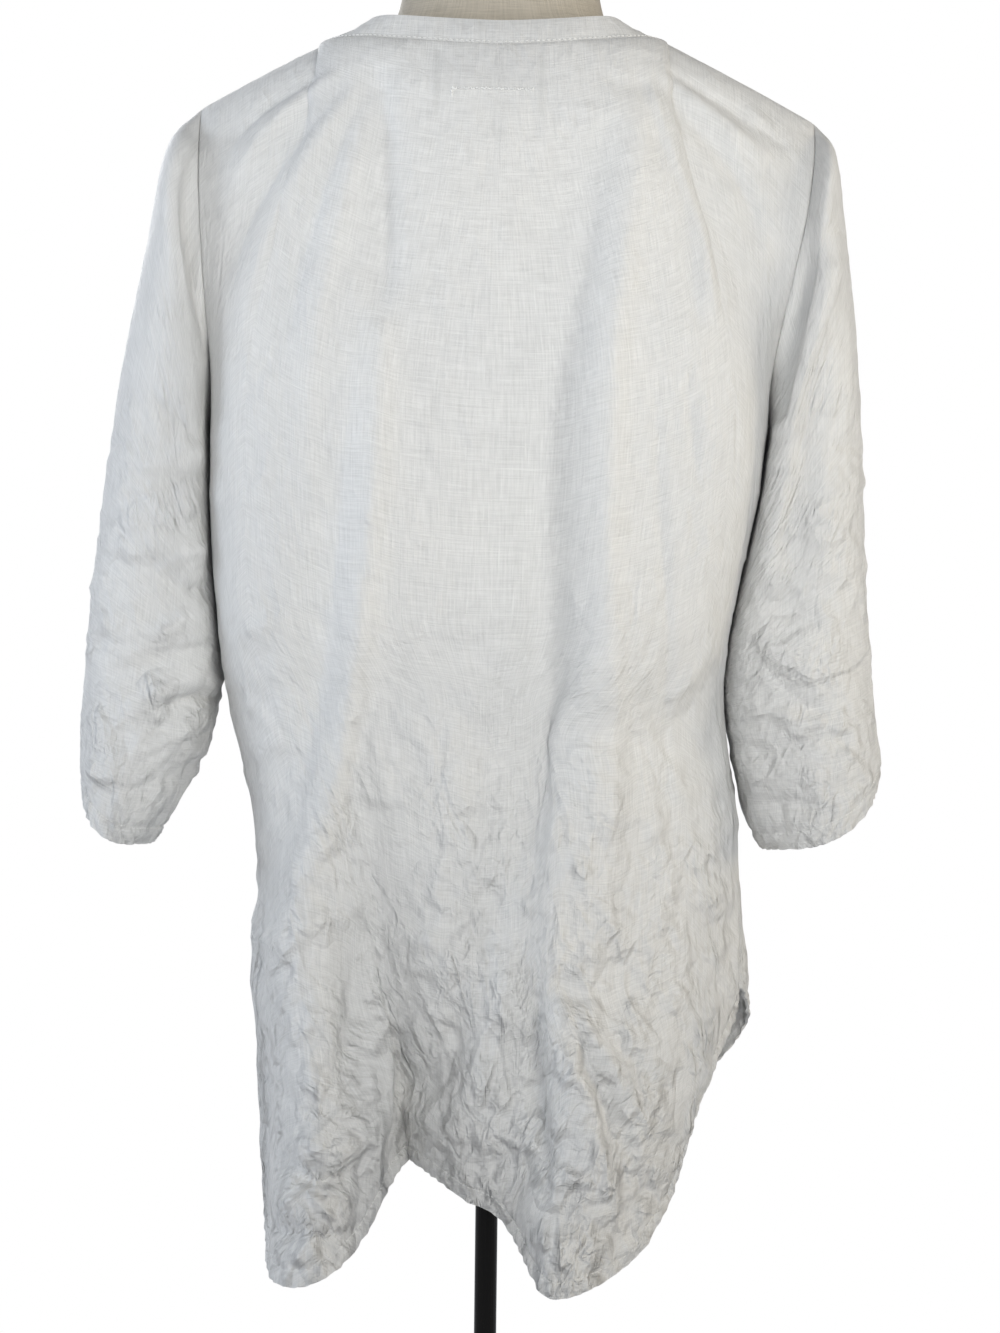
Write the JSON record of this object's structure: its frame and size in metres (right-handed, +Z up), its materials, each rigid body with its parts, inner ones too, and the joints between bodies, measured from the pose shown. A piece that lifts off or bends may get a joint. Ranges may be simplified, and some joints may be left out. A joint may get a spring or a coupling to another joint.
{
  "type": "tunic top on a limbless dress form",
  "caption": "Loose white linen tunic with band neck, three-quarter sleeves and a curved hem, hanging filled out on a limbless dress form with pole and round base.",
  "frame": {"origin": "centre of the round base's underside, on the floor", "axes": "+Z up along the pole, +X to the wearer's left, the garment's front faces -Y and its back +Y"},
  "size_m": [0.5432, 0.3358, 1.45],
  "materials": {
    "linen": "white slubby plain-weave linen, crumpled, matte",
    "label": "plain woven tape, blank",
    "form_cover": "greige linen stretched over the form",
    "stand": "gloss black"
  },
  "bodies": {
    "root": {"back_panel": "linen", "front_panel": "linen", "sleeve_left": "linen", "sleeve_right": "linen", "neck_band_back": "linen", "neck_band_front": "linen", "neck_label": "label", "form_torso": "form_cover", "pole": "stand", "base": "stand"}
  },
  "joints": []
}
